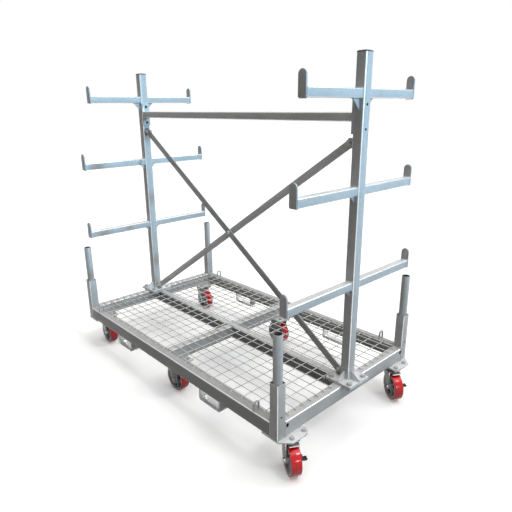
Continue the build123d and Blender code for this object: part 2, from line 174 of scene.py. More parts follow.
def linked(name, data):
    """A new object of a mesh, light or camera in the scene."""
    made = bpy.data.objects.new(name, data)
    bpy.context.scene.collection.objects.link(made)
    return made


def copied(piece, matrix):
    """A copy of a piece, with its own mesh, moved by a matrix."""
    twin = linked(piece.name, piece.data.copy())
    twin.data.transform(matrix)
    return twin


def discard(*pieces):
    """Removes pattern pieces once their copies are made."""
    for piece in pieces:
        bpy.data.objects.remove(piece)


def apply_modifier(piece, kind, **settings):
    """Gives a piece a modifier and applies it."""
    take(piece)
    modifier = piece.modifiers.new(kind.lower(), kind)
    for name, value in settings.items():
        setattr(modifier, name, value)
    bpy.ops.object.modifier_apply(modifier=modifier.name)


def ease(piece, width, segments=2, angle=40):
    """Rounds a piece's sharp edges."""
    apply_modifier(
        piece,
        "BEVEL",
        width=width,
        segments=segments,
        limit_method="ANGLE",
        angle_limit=radians(angle),
    )
    return piece


def rounded(offset, segments):
    """Bevels the edges that are selected, and closes the piece."""
    bpy.ops.mesh.bevel(offset=offset, segments=segments, affect="EDGES")
    leave()


def cleaned(piece):
    """Merges points of a piece that a bevel left in one place."""
    open_whole(piece)
    bpy.ops.mesh.remove_doubles(threshold=FINE)
    leave()
    return piece


def drilled(piece, cutters):
    """Cuts the cutters out of a piece."""
    cutter = joined(cutters)
    apply_modifier(piece, "BOOLEAN", operation="DIFFERENCE", solver="EXACT", object=cutter)
    discard(cutter)
    return piece


def finished(piece, name, body, slot, material, *nodes, angle=35):
    """Smooths, names and coats a piece, and hangs it on its body."""
    take(piece)
    settle()
    bpy.ops.object.shade_smooth_by_angle(angle=radians(angle))
    piece.name = name
    piece.data.name = name
    piece.data.materials.clear()
    piece.data.materials.append(material)
    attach(piece, body)
    if nodes:
        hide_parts(*nodes)
    return piece


def recoated(piece, material, test):
    """Gives those faces of a finished piece that pass the test another material."""
    piece.data.materials.append(material)
    pick(piece, "FACE", test)
    piece.active_material_index = len(piece.data.materials) - 1
    bpy.ops.object.material_slot_assign()
    leave()


def faces_up(place, normal):
    """Whether a face looks up."""
    return normal.z > FACING


def facing(axis):
    """A test for faces that look either way along an axis."""
    return lambda place, normal: abs(normal[axis]) > FACING


def on_corner(place, normal):
    """Whether a face lies on the middle of a rounded long edge."""
    return sum(abs(part) > SLANT for part in normal) == 2


def bores(sections, wall):
    """A test for faces inside the walls of lengths of section, their holes' walls too."""
    spans = []
    for low, high in sections:
        sizes = [high[i] - low[i] for i in range(3)]
        insets = [FINE if size == max(sizes) else SECTION_WALL_SHARE * wall for size in sizes]
        spans.append((low, high, insets))

    def within(place, normal):
        return any(
            all(
                low[i] + inset < place[i] < high[i] - inset
                for i, inset in enumerate(insets)
            )
            for low, high, insets in spans
        )

    return within


def boxes(node):
    """The lowest and highest corner of each separate solid of a CAD node."""
    mesh = frame["nodes"][node].data
    spots = [tuple(round(part, ndigits=5) for part in vertex.co) for vertex in mesh.vertices]
    leader = {spot: spot for spot in spots}

    def lead(spot):
        while leader[spot] != spot:
            leader[spot] = leader[leader[spot]]
            spot = leader[spot]
        return spot

    for face in mesh.polygons:
        corners = [lead(spots[i]) for i in face.vertices]
        for corner in corners[1:]:
            leader[lead(corner)] = lead(corners[0])
    groups = {}
    for spot in leader:
        groups.setdefault(lead(spot), []).append(spot)
    spans = sorted(
        (tuple(map(min, zip(*group))), tuple(map(max, zip(*group)))) for group in groups.values()
    )
    return [(Vector(low), Vector(high)) for low, high in spans]


def ends(low, high):
    """Both ends of a span on one side of the trolley's middle, the inner one first."""
    return (high, low) if low < 0 else (low, high)


def off_axis(point, middle):
    """How far a place lies from an upright axis."""
    return hypot(point.x - middle.x, point.y - middle.y)


def block(low, high):
    """A block between two corners."""
    low, high = Vector(low), Vector(high)
    bpy.ops.object.select_all(action="DESELECT")
    bpy.ops.mesh.primitive_cube_add(size=1, location=(low + high) / 2, scale=high - low)
    return settle()


def rod(radius, depth, place, axis, sides=32):
    """A round bar about a place, along X, Y or Z."""
    turn = {"X": (0, pi / 2, 0), "Y": (pi / 2, 0, 0), "Z": (0, 0, 0)}[axis]
    bpy.ops.object.select_all(action="DESELECT")
    bpy.ops.mesh.primitive_cylinder_add(
        vertices=sides, radius=radius, depth=depth, location=place, rotation=turn
    )
    return settle()


def flat_ball(radius, flatness):
    """A small ball at the origin, flattened along Z."""
    bpy.ops.object.select_all(action="DESELECT")
    bpy.ops.mesh.primitive_uv_sphere_add(segments=8, ring_count=4, radius=radius)
    ball = bpy.context.object
    open_whole(ball)
    bpy.ops.transform.resize(value=(1, 1, flatness))
    leave()
    return ball


def opened(piece, along, wall):
    """Opens a length of section from end to end and leaves its wall."""
    pick(piece, "FACE", facing(along))
    bpy.ops.mesh.inset(thickness=wall)
    bpy.ops.mesh.bridge_edge_loops()
    leave()
    return piece


def box_section(low, high, corner, wall):
    """A length of box section with rounded long edges, open from end to end."""
    along = max(range(3), key=lambda i: high[i] - low[i])
    piece = block(low, high)
    pick(piece, "EDGE", lambda a, b: abs(b[along] - a[along]) > FINE)
    rounded(corner, segments=4)
    return opened(piece, along, wall)


def cut_below(piece, height, fill):
    """Cuts away what lies below a height, and closes the cut if it is to be filled."""
    open_whole(piece)
    bpy.ops.mesh.bisect(
        plane_co=(0, 0, height), plane_no=(0, 0, 1), clear_inner=True, use_fill=fill
    )
    leave()


def draw_out(rise):
    """Draws the faces or edges that are selected out along Z."""
    bpy.ops.mesh.extrude_region_move(TRANSFORM_OT_translate={"value": (0, 0, rise)})


def merged_copy(node):
    """A copy of a CAD node with its points merged and its flat faces whole."""
    piece = linked(node, frame["nodes"][node].data.copy())
    open_whole(piece)
    bpy.ops.mesh.remove_doubles(threshold=FINE)
    bpy.ops.mesh.dissolve_limited(angle_limit=FLAT_ANGLE)
    leave()
    return piece


def along_matrix(start, direction):
    """Moves a pattern that points along +Z to a start and a direction."""
    turn = UP.rotation_difference(direction).to_matrix().to_4x4()
    return Matrix.Translation(start) @ turn


# Finishes: shader groups that several materials share, then the materials

# The sockets of a Mix node that are for colours; it names those for other kinds the same
COLOUR_A, COLOUR_B, COLOUR_RESULT = 6, 7, 2


def feed(tree, socket, value):
    """Links a socket to another one, or gives it a value."""
    if isinstance(value, bpy.types.NodeSocket):
        tree.links.new(value, socket)
    else:
        socket.default_value = value


def put(tree, kind, values=None, **settings):
    """Adds a node with its settings, and values or links for its sockets."""
    made = tree.nodes.new(kind)
    for name, value in settings.items():
        setattr(made, name, value)
    for socket, value in (values or {}).items():
        feed(tree, made.inputs[socket], value)
    return made


def new_group(name, inputs, outputs):
    """Starts a shader group; an input without a number is a place."""
    group = bpy.data.node_groups.new(name, "ShaderNodeTree")
    for label, default in inputs.items():
        kind = "NodeSocketVector" if default is None else "NodeSocketFloat"
        socket = group.interface.new_socket(label, in_out="INPUT", socket_type=kind)
        if default is not None:
            socket.default_value = default
    for label in outputs:
        group.interface.new_socket(label, in_out="OUTPUT", socket_type="NodeSocketFloat")
    given = group.nodes.new("NodeGroupInput").outputs
    result = group.nodes.new("NodeGroupOutput").inputs
    return group, given, result


def zinc_spangle_group():
    """Crystals of hot-dip zinc: a tone for each and a soft unevenness over them."""
    group, given, result = new_group(
        "zinc spangle", {"Place": None, "Crystals": 90.0, "Depth": 1.0}, ("Tone", "Height")
    )
    place = given["Place"]
    warp = put(group, "ShaderNodeTexNoise", {"Vector": place, "Scale": 38.0, "Detail": 3.0})
    drift = put(
        group,
        "ShaderNodeVectorMath",
        {0: warp.outputs["Color"], 1: (0.012, 0.012, 0.012)},
        operation="MULTIPLY",
    )
    bent = put(group, "ShaderNodeVectorMath", {0: place, 1: drift.outputs[0]}, operation="ADD")
    cells = put(
        group, "ShaderNodeTexVoronoi", {"Vector": bent.outputs[0], "Scale": given["Crystals"]}
    )
    tint = put(group, "ShaderNodeSeparateColor", {"Color": cells.outputs["Color"]})
    cloud = put(
        group,
        "ShaderNodeTexNoise",
        {"Vector": place, "Scale": 6.0, "Detail": 4.0, "Roughness": 0.6},
    )
    spread = put(group, "ShaderNodeMath", {0: tint.outputs["Red"], 1: 0.5}, operation="SUBTRACT")
    deep = put(
        group, "ShaderNodeMath", {0: spread.outputs[0], 1: given["Depth"]}, operation="MULTIPLY"
    )
    tone = put(
        group,
        "ShaderNodeMath",
        {0: deep.outputs[0], 1: cloud.outputs["Fac"]},
        operation="ADD",
        use_clamp=True,
    )
    group.links.new(tone.outputs[0], result["Tone"])
    grain = put(group, "ShaderNodeTexNoise", {"Vector": place, "Scale": 160.0, "Detail": 2.0})
    height = put(
        group,
        "ShaderNodeMath",
        {0: grain.outputs["Fac"], 1: cloud.outputs["Fac"]},
        operation="ADD",
    )
    group.links.new(height.outputs[0], result["Height"])
    return group


def weather_group():
    """Chalky clouds and thin drawn marks on handled metal."""
    group, given, result = new_group(
        "weather film", {"Place": None, "Amount": 0.5}, ("Film", "Marks")
    )
    cloud = put(
        group,
        "ShaderNodeTexNoise",
        {"Vector": given["Place"], "Scale": 3.2, "Detail": 6.0, "Roughness": 0.62},
    )
    film = put(
        group,
        "ShaderNodeMapRange",
        {"Value": cloud.outputs["Fac"], "From Min": 0.45, "From Max": 0.75},
    )
    drawn = put(
        group, "ShaderNodeMapping", {"Vector": given["Place"], "Scale": (9.0, 9.0, 170.0)}
    )
    lines = put(
        group, "ShaderNodeTexNoise", {"Vector": drawn.outputs[0], "Scale": 6.0, "Detail": 3.0}
    )
    marks = put(
        group,
        "ShaderNodeMapRange",
        {"Value": lines.outputs["Fac"], "From Min": 0.62, "From Max": 0.72},
    )
    for source, label in ((film, "Film"), (marks, "Marks")):
        faint = put(
            group,
            "ShaderNodeMath",
            {0: source.outputs[0], 1: given["Amount"]},
            operation="MULTIPLY",
            use_clamp=True,
        )
        group.links.new(faint.outputs[0], result[label])
    return group


def skin_group():
    """The fine unevenness of a cast or moulded surface."""
    group, given, result = new_group(
        "cast skin", {"Place": None, "Grain": 400.0}, ("Shade", "Height")
    )
    fine = put(
        group,
        "ShaderNodeTexNoise",
        {"Vector": given["Place"], "Scale": given["Grain"], "Detail": 3.0},
    )
    broad = put(
        group, "ShaderNodeTexNoise", {"Vector": given["Place"], "Scale": 24.0, "Detail": 3.0}
    )
    shade = put(
        group,
        "ShaderNodeMath",
        {0: fine.outputs["Fac"], 1: broad.outputs["Fac"]},
        operation="ADD",
    )
    half = put(group, "ShaderNodeMath", {0: shade.outputs[0], 1: 0.5}, operation="MULTIPLY")
    group.links.new(half.outputs[0], result["Shade"])
    group.links.new(fine.outputs["Fac"], result["Height"])
    return group


SPANGLE = zinc_spangle_group()
WEATHER = weather_group()
SKIN = skin_group()


def new_material(name):
    """A material, its node tree and the place on the object that its patterns follow."""
    material = bpy.data.materials.new(name)
    material.use_nodes = True
    tree = material.node_tree
    return material, tree, put(tree, "ShaderNodeTexCoord").outputs["Object"]


def colour_mix(tree, factor, low, high):
    """A colour between two others."""
    mix = put(tree, "ShaderNodeMix", data_type="RGBA")
    feed(tree, mix.inputs["Factor"], factor)
    feed(tree, mix.inputs[COLOUR_A], low)
    feed(tree, mix.inputs[COLOUR_B], high)
    return mix.outputs[COLOUR_RESULT]


def dressed(tree, colour, sheen, relief, metal, shine):
    """Gives a material its colour, the span of its roughness, its relief and its shine."""
    inputs = tree.nodes["Principled BSDF"].inputs
    feed(tree, inputs["Base Color"], colour)
    feed(tree, inputs["Roughness"], put(tree, "ShaderNodeMapRange", sheen).outputs[0])
    feed(tree, inputs["Normal"], put(tree, "ShaderNodeBump", relief).outputs[0])
    feed(tree, inputs["Metallic"], metal)
    feed(tree, inputs["Specular IOR Level"], shine)


def zinc(name, dark, light, chalk, crystals, depth, film, metal, shine, rough, bump):
    """Zinc-coated steel: crystals, chalky film and drawn marks."""
    material, tree, place = new_material(name)
    spangle = put(
        tree,
        "ShaderNodeGroup",
        {"Place": place, "Crystals": crystals, "Depth": depth},
        node_tree=SPANGLE,
    ).outputs
    weather = put(
        tree, "ShaderNodeGroup", {"Place": place, "Amount": film}, node_tree=WEATHER
    ).outputs
    body = colour_mix(tree, spangle["Tone"], (*dark, 1), (*light, 1))
    chalky = colour_mix(tree, weather["Film"], body, (*chalk, 1))
    dressed(
        tree,
        colour=colour_mix(tree, weather["Marks"], chalky, (*dark, 1)),
        sheen={"Value": spangle["Tone"], "To Min": rough + 0.05, "To Max": rough - 0.03},
        relief={"Height": spangle["Height"], "Strength": bump, "Distance": 0.0006},
        metal=metal,
        shine=shine,
    )
    return material


def moulded(name, dark, light, grain, rough, bump, shine, metal=0.0):
    """A cast or moulded material with a fine skin."""
    material, tree, place = new_material(name)
    skin = put(tree, "ShaderNodeGroup", {"Place": place, "Grain": grain}, node_tree=SKIN).outputs
    dressed(
        tree,
        colour=colour_mix(tree, skin["Shade"], (*dark, 1), (*light, 1)),
        sheen={"Value": skin["Shade"], "To Min": rough - 0.05, "To Max": rough + 0.12},
        relief={"Height": skin["Height"], "Strength": bump, "Distance": 0.0004},
        metal=metal,
        shine=shine,
    )
    return material


def galvanised(name, tone, shine=0.4):
    """Hot-dip zinc, darker or lighter by a tone; its darker and lighter copies below are painted
    shade and painted light.
    """
    return zinc(
        name,
        dark=[tone * part for part in (0.45, 0.45, 0.445)],
        light=[tone * part for part in (0.60, 0.60, 0.595)],
        chalk=[tone * part for part in (0.65, 0.65, 0.645)],
        crystals=95.0,
        depth=0.36,
        film=0.35,
        metal=0.0,
        shine=shine,
        rough=0.23,
        bump=0.05,
    )


GALVANISED = galvanised("galvanised", tone=1.0)
# Painted light: a lighter copy for the rear brace, top rail, foot pads, the arms' tops and the
# pocket straps' ends
LIT_ZINC = galvanised("galvanised, painted lighter", tone=1.3)
# Painted shade: a darker copy for the front brace
SHADED_ZINC = galvanised("galvanised, painted darker", tone=0.70)
# Painted shade: a darker copy with a duller shine for the side rails
SHADED_MATT_ZINC = galvanised("galvanised, matt, painted darker", tone=0.80, shine=0.12)
# Painted deep shade: a much darker copy for the sides of the spine beams
DEEP_SHADE_ZINC = galvanised("galvanised, painted deep shade", tone=0.50, shine=0.10)
# Light zinc for rounded edges, plate edges and the pockets' insides: a painted highlight, with
# metal that reflects the white stage
PAINTED_HIGHLIGHT_ZINC = zinc(
    "galvanised, painted edge highlight",
    dark=(0.74, 0.745, 0.75),
    light=(0.88, 0.885, 0.89),
    chalk=(0.90, 0.90, 0.90),
    crystals=95.0,
    depth=0.3,
    film=0.2,
    metal=0.7,
    shine=0.5,
    rough=0.24,
    bump=0.03,
)
# Dark zinc for the forks: painted shade and painted dark reflection on bright zinc-plated forks
SHADED_CASTOR_ZINC = zinc(
    "castor zinc, painted dark",
    dark=(0.20, 0.20, 0.20),
    light=(0.32, 0.32, 0.32),
    chalk=(0.36, 0.36, 0.36),
    crystals=260.0,
    depth=0.2,
    film=0.15,
    metal=0.0,
    shine=0.6,
    rough=0.22,
    bump=0.1,
)
BRIGHT_ZINC = zinc(
    "bright zinc",
    dark=(0.46, 0.46, 0.46),
    light=(0.62, 0.62, 0.62),
    chalk=(0.66, 0.66, 0.66),
    crystals=260.0,
    depth=0.2,
    film=0.15,
    metal=0.1,
    shine=0.7,
    rough=0.22,
    bump=0.1,
)
WELD = zinc(
    "galvanised weld",
    dark=(0.50, 0.51, 0.52),
    light=(0.70, 0.71, 0.72),
    chalk=(0.72, 0.73, 0.73),
    crystals=220.0,
    depth=0.5,
    film=0.3,
    metal=0.10,
    shine=0.3,
    rough=0.46,
    bump=0.4,
)
WIRE_ZINC = zinc(
    "galvanised wire",
    dark=(0.62, 0.605, 0.575),
    light=(0.76, 0.745, 0.712),
    chalk=(0.78, 0.768, 0.74),
    crystals=260.0,
    depth=0.2,
    film=0.2,
    metal=0.05,
    shine=0.4,
    rough=0.32,
    bump=0.06,
)
# Pale zinc: on the castor pads and post feet its lightness is painted light; it is also used for
# the spot welds
PALE_AND_LIT_ZINC = zinc(
    "pale zinc plate, painted lighter",
    dark=(0.64, 0.645, 0.645),
    light=(0.78, 0.785, 0.785),
    chalk=(0.80, 0.80, 0.80),
    crystals=140.0,
    depth=0.2,
    film=0.25,
    metal=0.05,
    shine=0.5,
    rough=0.3,
    bump=0.06,
)
RED_TREAD = moulded(
    "red polyurethane",
    dark=(0.74, 0.008, 0.014),
    light=(0.90, 0.014, 0.022),
    grain=520.0,
    rough=0.10,
    bump=0.03,
    shine=0.38,
)
# Near-black for the wheels' web between rim and hub: painted shade in the recess behind the forks
PAINTED_SHADE_WEB = moulded(
    "wheel web, painted shade",
    dark=(0.035, 0.037, 0.038),
    light=(0.09, 0.094, 0.096),
    grain=700.0,
    rough=0.6,
    bump=0.3,
    shine=0.05,
)
CAST_RIM = moulded(
    "cast rim",
    dark=(0.50, 0.51, 0.515),
    light=(0.68, 0.69, 0.695),
    grain=700.0,
    rough=0.36,
    bump=0.3,
    shine=0.4,
    metal=0.2,
)
# Near-black for the insides of tubes, sockets, pipes and holes: painted shade in the bores
PAINTED_SHADE_BORE = moulded(
    "bore, painted shade",
    dark=(0.05, 0.051, 0.051),
    light=(0.10, 0.102, 0.102),
    grain=300.0,
    rough=0.7,
    bump=0.1,
    shine=0.05,
)
BLACK_PLASTIC = moulded(
    "black plastic",
    dark=(0.012, 0.012, 0.013),
    light=(0.03, 0.03, 0.032),
    grain=900.0,
    rough=0.5,
    bump=0.25,
    shine=0.4,
)
BLACK_STEEL = moulded(
    "black coated steel",
    dark=(0.02, 0.02, 0.022),
    light=(0.05, 0.05, 0.053),
    grain=600.0,
    rough=0.42,
    bump=0.2,
    shine=0.4,
)

# Parts given a lighter or darker copy of the zinc, painted light and painted shade for how the
# light falls on them, and tubes whose upper faces are painted lighter than their sides
PAINTED_TONES = {
    "front_brace": SHADED_ZINC,
    "rear_brace": LIT_ZINC,
    "top_rail": LIT_ZINC,
    "side_rails": SHADED_MATT_ZINC,
    "spine_beams": DEEP_SHADE_ZINC,
    "castor_pads": PALE_AND_LIT_ZINC,
    "post_feet": PALE_AND_LIT_ZINC,
    "foot_pads": LIT_ZINC,
}
PAINTED_TOPS = {"left_arms": LIT_ZINC, "right_arms": LIT_ZINC, "spine_beams": GALVANISED}

# Tubes of the deck frame, posts, arms and top rail, with their vent and bolt holes
rail_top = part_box("side_rails")[1].z
rail_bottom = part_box("side_rails")[0].z
frame_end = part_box("end_rails")[1].x
beam_low, beam_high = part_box("centre_cross_beam")
post_low, post_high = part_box("right_post")
post_middle = (post_low.x + post_high.x) / 2
half_post = (post_high.x - post_low.x) / 2
top_rail_low, top_rail_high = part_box("top_rail")
top_rail_z = (top_rail_low.z + top_rail_high.z) / 2
vent_z = rail_top - VENT_DROP
beam_vent_z = rail_bottom + BEAM_VENT_RISE
PLATE_BOLT = 0.050

vents = [
    rod(VENT_RADIUS, HOLE_DEPTH, (side * frame_end, across * VENT_Y, vent_z), "X")
    for side in (-1, 1)
    for across in (-1, 1)
]
beam_vents = [
    rod(
        BEAM_VENT_RADIUS,
        BEAM_VENT_DEPTH,
        (side * beam_high.x, across * BEAM_VENT_Y, beam_vent_z),
        "X",
    )
    for side in (-1, 1)
    for across in (-1, 1)
]
post_holes = {
    f"{name}_post": [
        rod(
            BOLT_HOLE_RADIUS,
            HOLE_DEPTH,
            (side * frame_end, 0, top_rail_z + level * PLATE_BOLT),
            "X",
        )
        for level in (-1, 1)
    ]
    for name, side in (("left", -1), ("right", 1))
}
holes = {"end_rails": vents, "centre_cross_beam": beam_vents, **post_holes}
for node, corner in (
    ("side_rails", RAIL_CORNER),
    ("end_rails", RAIL_CORNER),
    ("centre_cross_beam", RAIL_CORNER),
    ("spine_beams", RAIL_CORNER),
    ("left_post", POST_CORNER),
    ("right_post", POST_CORNER),
    ("left_arms", ARM_CORNER),
    ("right_arms", ARM_CORNER),
    ("top_rail", ARM_CORNER),
):
    tube = joined([box_section(low, high, corner, TUBE_WALL) for low, high in boxes(node)])
    if node in holes:
        drilled(tube, holes[node])
    # A part listed above gets its painted light or painted shade here
    plain_or_painted_tone = PAINTED_TONES.get(node, GALVANISED)
    finished(tube, f"{node}_tube", "frame", "galvanised", plain_or_painted_tone, node)
    # Upper faces painted lighter than the sides: painted light from above
    if node in PAINTED_TOPS:
        recoated(tube, PAINTED_TOPS[node], faces_up)
    # Rounded long edges get a painted highlight
    recoated(tube, PAINTED_HIGHLIGHT_ZINC, on_corner)
    # Insides of the tubes and the walls of their holes get painted shade
    recoated(tube, PAINTED_SHADE_BORE, bores(boxes(node), TUBE_WALL))

# Corner sockets, with a hole for the pin that holds a stanchion
socket_boxes = boxes("corner_sockets")
pin_hole_z = rail_top + PIN_HOLE_RISE
sockets = joined(
    [box_section(low, high, SOCKET_CORNER, SOCKET_WALL) for low, high in socket_boxes]
)
ease(sockets, SOCKET_EASE, angle=60)
pin_holes = []
for low, high in socket_boxes:
    outer_x = ends(low.x, high.x)[1]
    place = (outer_x, (low.y + high.y) / 2, pin_hole_z)
    pin_holes.append(rod(PIN_HOLE_RADIUS, SOCKET_HOLE_DEPTH, place, "X"))
drilled(sockets, pin_holes)
finished(sockets, "corner_socket_tubes", "frame", "galvanised", GALVANISED, "corner_sockets")
# The sockets' rounded edges get a painted highlight
recoated(sockets, PAINTED_HIGHLIGHT_ZINC, on_corner)
# Insides of the sockets and the walls of their holes get painted shade
recoated(sockets, PAINTED_SHADE_BORE, bores(socket_boxes, SOCKET_WALL))

# Stanchion pipes with eased lips and a pin hole
for corner in CORNERS:
    (low, high), = boxes(f"stanchion_{corner}")
    middle = (low + high) / 2
    radius = (high.x - low.x) / 2
    pipe = opened(rod(radius, high.z - low.z, middle, "Z", sides=64), 2, PIPE_WALL)
    pick(
        pipe,
        "EDGE",
        lambda a, b: abs(a.z - b.z) < FINE
        and abs(off_axis(a, middle) - off_axis(b, middle)) < FINE,
    )
    rounded(PIPE_LIP, segments=2)
    outer_x = ends(low.x, high.x)[1]
    drilled(pipe, [rod(PIN_HOLE_RADIUS, PIPE_HOLE_DEPTH, (outer_x, middle.y, pin_hole_z), "X")])
    finished(
        pipe,
        f"stanchion_pipe_{corner}",
        f"{corner}_stanchion",
        "galvanised",
        GALVANISED,
        f"stanchion_{corner}",
    )
    bore = radius - PIPE_WALL_SHARE * PIPE_WALL
    # The pipe's bore gets painted shade
    recoated(pipe, PAINTED_SHADE_BORE, lambda place, normal: off_axis(place, middle) < bore)

# Plates and flat bars
for node in (
    "castor_pads",
    "foot_pads",
    "post_feet",
    "arm_gussets",
    "top_rail_end_plates",
    "brace_cleats",
    "front_brace",
    "rear_brace",
):
    plate = ease(merged_copy(node), PLATE_EASE)
    # Braces, feet and pads listed above get their painted light or painted shade here
    plain_or_painted_tone = PAINTED_TONES.get(node, GALVANISED)
    finished(plate, f"{node}_eased", "frame", "galvanised", plain_or_painted_tone, node)
caps = cleaned(ease(merged_copy("post_caps"), CAP_EASE, segments=3, angle=20))
finished(caps, "post_caps_eased", "frame", "cap", BLACK_PLASTIC, "post_caps")

# Hook plates: half a disc drawn down into a plate
hooks = []
for low, high in boxes("hook_plates"):
    middle = (low + high) / 2
    radius = (high.x - low.x) / 2
    shoulder = high.z - radius
    hook = rod(radius, high.y - low.y, (middle.x, middle.y, shoulder), "Y", sides=64)
    cut_below(hook, shoulder, fill=True)
    pick(hook, "FACE", lambda place, normal: normal.z < -FACING)
    draw_out(low.z - shoulder)
    leave()
    hooks.append(hook)
hook_group = ease(joined(hooks), PLATE_EASE)
finished(hook_group, "hook_plates_eased", "frame", "galvanised", GALVANISED, "hook_plates")

# Fork-lift pockets: straps with bent corners
pockets = merged_copy("fork_pockets")
pocket_boxes = boxes("fork_pockets")


def on_bend(a, b, inset):
    """Whether an edge is the fold of a strap, this far in from its outside."""
    if abs(a.x - b.x) > FINE or abs(a.z - b.z) > FINE:
        return False
    return any(
        abs(a.z - low.z - inset) < NEAR
        and min(abs(a.x - low.x - inset), abs(high.x - inset - a.x)) < NEAR
        for low, high in pocket_boxes
    )


for inset, radius in ((0.0, STRAP_BEND), (STRAP, STRAP_INSIDE)):
    pick(pockets, "EDGE", lambda a, b: on_bend(a, b, inset))
    rounded(radius, segments=5)
ease(pockets, PLATE_EASE)
finished(pockets, "fork_pocket_straps", "frame", "galvanised", GALVANISED, "fork_pockets")
# Painted light: the straps' ends get the lighter zinc and their insides the painted highlight zinc
recoated(pockets, LIT_ZINC, facing(1))
recoated(pockets, PAINTED_HIGHLIGHT_ZINC, bores(pocket_boxes, STRAP))

# Deck mesh of round wire; the wires' ends are kept for their spot welds
wire_ends = {"left": [], "right": []}
for side, tips in wire_ends.items():
    wires = []
    for low, high in boxes(f"{side}_mesh_panel"):
        middle = (low + high) / 2
        along = 0 if high.x - low.x > high.y - low.y else 1
        length = high[along] - low[along]
        wires.append(rod(WIRE_RADIUS, length, middle, "XY"[along], sides=10))
        for end in (-1, 1):
            tip = middle.copy()
            tip[along] += end * (length / 2 - SPOT_RADIUS)
            tips.append((tip.x, tip.y, rail_top))
    panel = ease(joined(wires), WIRE_EASE, segments=1, angle=60)
    finished(
        panel,
        f"{side}_mesh_wires",
        "frame",
        "galvanised",
        WIRE_ZINC,
        f"{side}_mesh_panel",
        angle=50,
    )

# Lashing hoops of round bar: half a ring with its ends drawn down to the rail
hoops = []
for low, high in boxes("lashing_hoops"):
    bend = (high.y - low.y) / 2 - HOOP_BAR
    shoulder = high.z - bend - HOOP_BAR
    bpy.ops.object.select_all(action="DESELECT")
    bpy.ops.mesh.primitive_torus_add(
        major_radius=bend,
        minor_radius=HOOP_BAR,
        major_segments=32,
        minor_segments=16,
        location=((low.x + high.x) / 2, (low.y + high.y) / 2, shoulder),
        rotation=(0, pi / 2, 0),
    )
    hoop = settle()
    cut_below(hoop, shoulder, fill=False)
    pick(hoop, "EDGE", lambda a, b: abs(a.z - shoulder) < FINE and abs(b.z - shoulder) < FINE)
    draw_out(low.z - shoulder)
    bpy.ops.mesh.select_all(action="SELECT")
    bpy.ops.mesh.fill_holes(sides=0)
    leave()
    hoops.append(hoop)
hoop_bars = joined(hoops)
finished(
    hoop_bars, "lashing_hoop_bars", "frame", "galvanised", GALVANISED, "lashing_hoops", angle=50
)

# Castors without their wheels: swivel plates, fixed forks, and for each corner a swivel fork with a
# bend where its crown turns down into the legs, and a brake lever
finished(
    ease(merged_copy("swivel_plates"), CASTOR_EASE),
    "swivel_plates_eased",
    "frame",
    "castor_zinc",
    BRIGHT_ZINC,
    "swivel_plates",
)
# The forks' dark zinc is painted shade and painted dark reflection; their edges get a painted
# highlight
fixed = finished(
    ease(merged_copy("fixed_forks"), CASTOR_EASE),
    "fixed_forks_eased",
    "frame",
    "castor_zinc",
    SHADED_CASTOR_ZINC,
    "fixed_forks",
)
# The fixed forks' plate edges get a painted highlight
recoated(fixed, PAINTED_HIGHLIGHT_ZINC, lambda place, normal: max(abs(normal.y), abs(normal.z)) < SLANT)
for corner in CORNERS:
    fork = merged_copy(f"swivel_fork_{corner}")
    axle = joint_axes[f"{corner}_wheel_roll"]
    pivot = joint_places[f"{corner}_swivel_turn"].dot(axle)
    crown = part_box(f"swivel_fork_{corner}")[1].z
    widest = max(
        abs(vertex.co.dot(axle) - pivot)
        for vertex in fork.data.vertices
        if vertex.co.z > crown - FINE
    )
    pick(
        fork,
        "EDGE",
        lambda a, b: min(a.z, b.z) > crown - FINE
        and min(abs(point.dot(axle) - pivot) for point in (a, b)) > widest - FINE
        and (a.dot(axle) - pivot) * (b.dot(axle) - pivot) > 0,
    )
    rounded(FORK_BEND, segments=4)
    finished(
        ease(fork, CASTOR_EASE),
        f"swivel_fork_eased_{corner}",
        f"{corner}_swivel",
        "castor_zinc",
        SHADED_CASTOR_ZINC,
        f"swivel_fork_{corner}",
    )
    # The swivel fork's plate edges get a painted highlight
    recoated(
        fork,
        PAINTED_HIGHLIGHT_ZINC,
        lambda place, normal: max(abs(normal.dot(axle)), abs(normal.z)) < SLANT,
    )
    finished(
        ease(merged_copy(f"brake_lever_{corner}"), CASTOR_EASE),
        f"brake_lever_eased_{corner}",
        f"{corner}_brake",
        "lever",
        BLACK_STEEL,
        f"brake_lever_{corner}",
    )

# Wheels, modelled once at the origin with their axle along Y: a tread, a bright rim with its
# ribs and hub, and the web between them, painted dark as shade
tread_low, tread_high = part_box("wheel_tread_front_middle")
rim_low, rim_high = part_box("wheel_rim_front_middle")
RIM_GAP = 0.0006
WHEEL_RADIUS = (tread_high.x - tread_low.x) / 2
RIM_RADIUS = (rim_high.x - rim_low.x) / 2 - RIM_GAP
TREAD_HALF = (tread_high.y - tread_low.y) / 2
HUB_HALF = (rim_high.y - rim_low.y) / 2
RIM_HALF = TREAD_HALF - RIM_GAP
WEB_HALF = 0.008
SHOULDER = 0.0035
CAST_EASE = 0.001
SEAT = 0.001
WHEEL_SIDES = 96

# Radii of the rim and hub from outside to inside, and of the web's dish between them
LIP_RADIUS = RIM_RADIUS - 0.0075
DISH_OUTER = LIP_RADIUS - 0.004
DISH_INNER = LIP_RADIUS - 0.008
DISH_DEPTH = 0.004
HUB_RADIUS = 0.0185
BOSS_OUTER = HUB_RADIUS + 0.009
BOSS_INNER = HUB_RADIUS + 0.004
BOSS_RISE = 0.006
SEAL_OUTER = 0.0135
SEAL_INNER = 0.0127
SEAL_DEPTH = 0.0012
BORE_RADIUS = 0.01006

SPOKES = 6
FIRST_SPOKE = pi / 12
RIB_HALF_WIDTH = 0.0175
RIB_HALF_DEPTH = 0.0028
RIB_EASE = 0.0016

